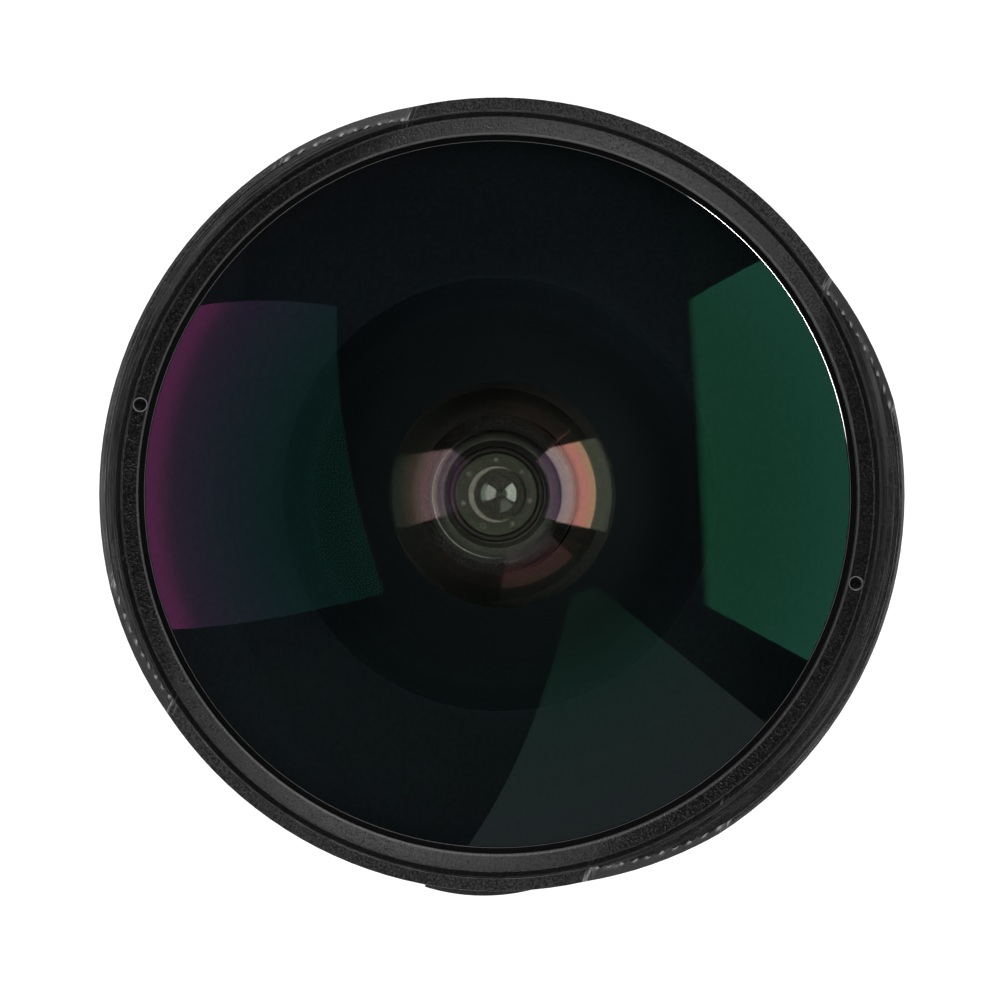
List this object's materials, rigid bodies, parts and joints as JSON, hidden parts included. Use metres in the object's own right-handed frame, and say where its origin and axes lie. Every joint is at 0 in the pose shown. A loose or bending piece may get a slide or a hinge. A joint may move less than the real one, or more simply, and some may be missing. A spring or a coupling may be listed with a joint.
{
  "type": "fisheye lens",
  "caption": "Manual fisheye lens with a domed front element in a short petal hood, a focus ring with finger tab, an aperture ring with iris, and a rear bayonet mount.",
  "frame": {"origin": "on the optical axis, in the plane of the mount's flange face", "axes": "+Z along the optical axis towards the front element; +Y is up when the lens is on a camera, where one of the high petals stands"},
  "size_m": [0.0765, 0.075, 0.0738],
  "materials": {
    "hood_alloy": "black anodised, bead blasted",
    "black_alloy": "black anodised",
    "ring_alloy": "black anodised, bead blasted",
    "inner_alloy": "matt black",
    "bright_alloy": "turned",
    "chrome": "satin plated",
    "brass": "turned",
    "screw_steel": "blackened",
    "blade_steel": "blackened spring steel",
    "coated_glass": "multi-coated, polished",
    "seal_rubber": "matt",
    "red_bead": "gloss"
  },
  "bodies": {
    "barrel": {"mount_flange": "chrome", "mount_screws": "screw_steel", "index_bead": "red_bead", "rear_baffle": "inner_alloy", "rear_barrel": "black_alloy", "scale_ring": "black_alloy", "scale_screws": "screw_steel", "bearing_ring": "inner_alloy", "guide_keys": "brass", "key_screws": "screw_steel", "stop_pin": "screw_steel"},
    "focus": {"focus_ring": "black_alloy", "focus_tab": "black_alloy", "tab_screws": "screw_steel", "helicoid_sleeve": "brass", "focus_set_screws": "screw_steel"},
    "front_block": {"carrier_tube": "bright_alloy", "carrier_screws": "screw_steel", "front_barrel": "black_alloy", "petal_hood": "hood_alloy", "hood_screws": "screw_steel", "front_retaining_ring": "ring_alloy", "front_seal": "seal_rubber", "front_element": "coated_glass", "front_cell": "inner_alloy", "second_element": "coated_glass", "second_ring": "inner_alloy", "third_element": "coated_glass", "third_ring": "inner_alloy", "rear_cell": "inner_alloy", "cell_screws": "screw_steel", "iris_base_plate": "inner_alloy", "iris_front_plate": "inner_alloy", "click_ball": "screw_steel", "click_spring": "screw_steel", "fourth_element": "coated_glass", "fifth_element": "coated_glass", "rear_spacers": "inner_alloy", "sixth_element": "coated_glass", "seventh_element": "coated_glass", "rear_retaining_ring": "inner_alloy"},
    "aperture": {"aperture_ring": "black_alloy", "iris_cam_ring": "brass", "drive_pin": "screw_steel"},
    "blade_1": {"iris_blade_1": "blade_steel"},
    "blade_2": {"iris_blade_2": "blade_steel"},
    "blade_3": {"iris_blade_3": "blade_steel"},
    "blade_4": {"iris_blade_4": "blade_steel"},
    "blade_5": {"iris_blade_5": "blade_steel"},
    "blade_6": {"iris_blade_6": "blade_steel"},
    "blade_7": {"iris_blade_7": "blade_steel"}
  },
  "joints": [
    {"name": "focus_turn", "type": "hinge", "parent": "barrel", "child": "focus", "pos_m": [0, 0, 0.025], "axis": [0, 0, 1], "range_deg": [0, 100]},
    {"name": "focus_travel", "type": "slide", "parent": "barrel", "child": "front_block", "axis": [0, 0, 1], "range_m": [0, 0.0007]},
    {"name": "aperture_turn", "type": "hinge", "parent": "front_block", "child": "aperture", "pos_m": [0, 0, 0.041], "axis": [0, 0, 1], "range_deg": [0, 42]},
    {"name": "blade_1_swing", "type": "hinge", "parent": "front_block", "child": "blade_1", "pos_m": [0.00676, 0.00301, 0.039], "axis": [0, 0, 1], "range_deg": [0, 26.7]},
    {"name": "blade_2_swing", "type": "hinge", "parent": "front_block", "child": "blade_2", "pos_m": [0.00186, 0.00716, 0.039], "axis": [0, 0, 1], "range_deg": [0, 26.7]},
    {"name": "blade_3_swing", "type": "hinge", "parent": "front_block", "child": "blade_3", "pos_m": [-0.00444, 0.00592, 0.039], "axis": [0, 0, 1], "range_deg": [0, 26.7]},
    {"name": "blade_4_swing", "type": "hinge", "parent": "front_block", "child": "blade_4", "pos_m": [-0.0074, 0.00022, 0.039], "axis": [0, 0, 1], "range_deg": [0, 26.7]},
    {"name": "blade_5_swing", "type": "hinge", "parent": "front_block", "child": "blade_5", "pos_m": [-0.00478, -0.00564, 0.039], "axis": [0, 0, 1], "range_deg": [0, 26.7]},
    {"name": "blade_6_swing", "type": "hinge", "parent": "front_block", "child": "blade_6", "pos_m": [0.00143, -0.00726, 0.039], "axis": [0, 0, 1], "range_deg": [0, 26.7]},
    {"name": "blade_7_swing", "type": "hinge", "parent": "front_block", "child": "blade_7", "pos_m": [0.00657, -0.00341, 0.039], "axis": [0, 0, 1], "range_deg": [0, 26.7]}
  ],
  "couplings": [
    {"joint": "focus_travel", "follows": "focus_turn", "m_per_rad": 0.00040103},
    {"joint": "blade_1_swing", "follows": "aperture_turn", "ratio": 0.63333},
    {"joint": "blade_2_swing", "follows": "aperture_turn", "ratio": 0.63333},
    {"joint": "blade_3_swing", "follows": "aperture_turn", "ratio": 0.63333},
    {"joint": "blade_4_swing", "follows": "aperture_turn", "ratio": 0.63333},
    {"joint": "blade_5_swing", "follows": "aperture_turn", "ratio": 0.63333},
    {"joint": "blade_6_swing", "follows": "aperture_turn", "ratio": 0.63333},
    {"joint": "blade_7_swing", "follows": "aperture_turn", "ratio": 0.63333}
  ]
}
